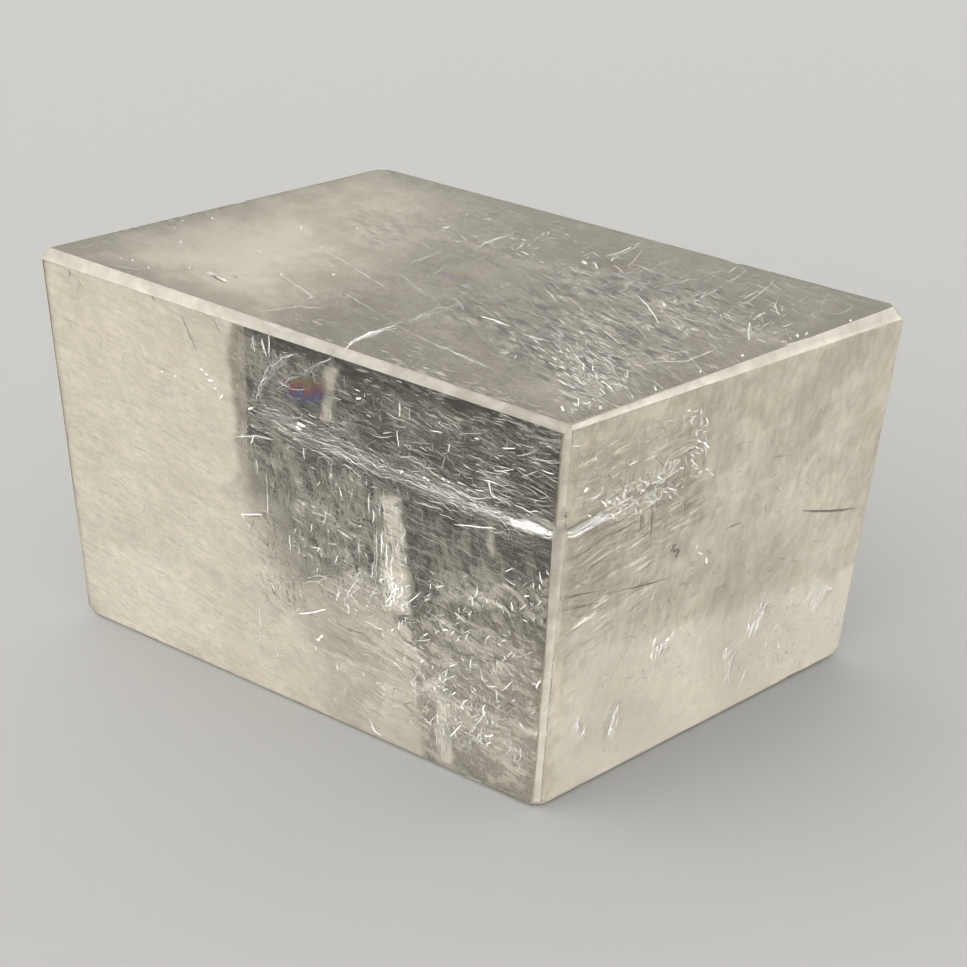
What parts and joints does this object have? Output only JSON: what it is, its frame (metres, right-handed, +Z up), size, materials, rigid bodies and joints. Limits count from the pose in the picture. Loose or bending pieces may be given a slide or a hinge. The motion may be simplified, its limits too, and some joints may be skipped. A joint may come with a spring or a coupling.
{
  "type": "optical calcite block",
  "caption": "Clear rhombohedral calcite block with bevelled edges, small cleavage chips and one open crack; rests on its flat base.",
  "frame": {"origin": "middle of the block's box, on the base face", "axes": "+X along the long edge, towards the face on the picture's right; -Y is the side of the long face seen in the picture; +Z up from the base face"},
  "size_m": [0.123, 0.086, 0.075],
  "materials": {
    "calcite": "polished clear calcite, faintly warm, with ground bevels and silvery inner cleavage"
  },
  "bodies": {
    "root": {"calcite_block": "calcite"}
  },
  "joints": []
}
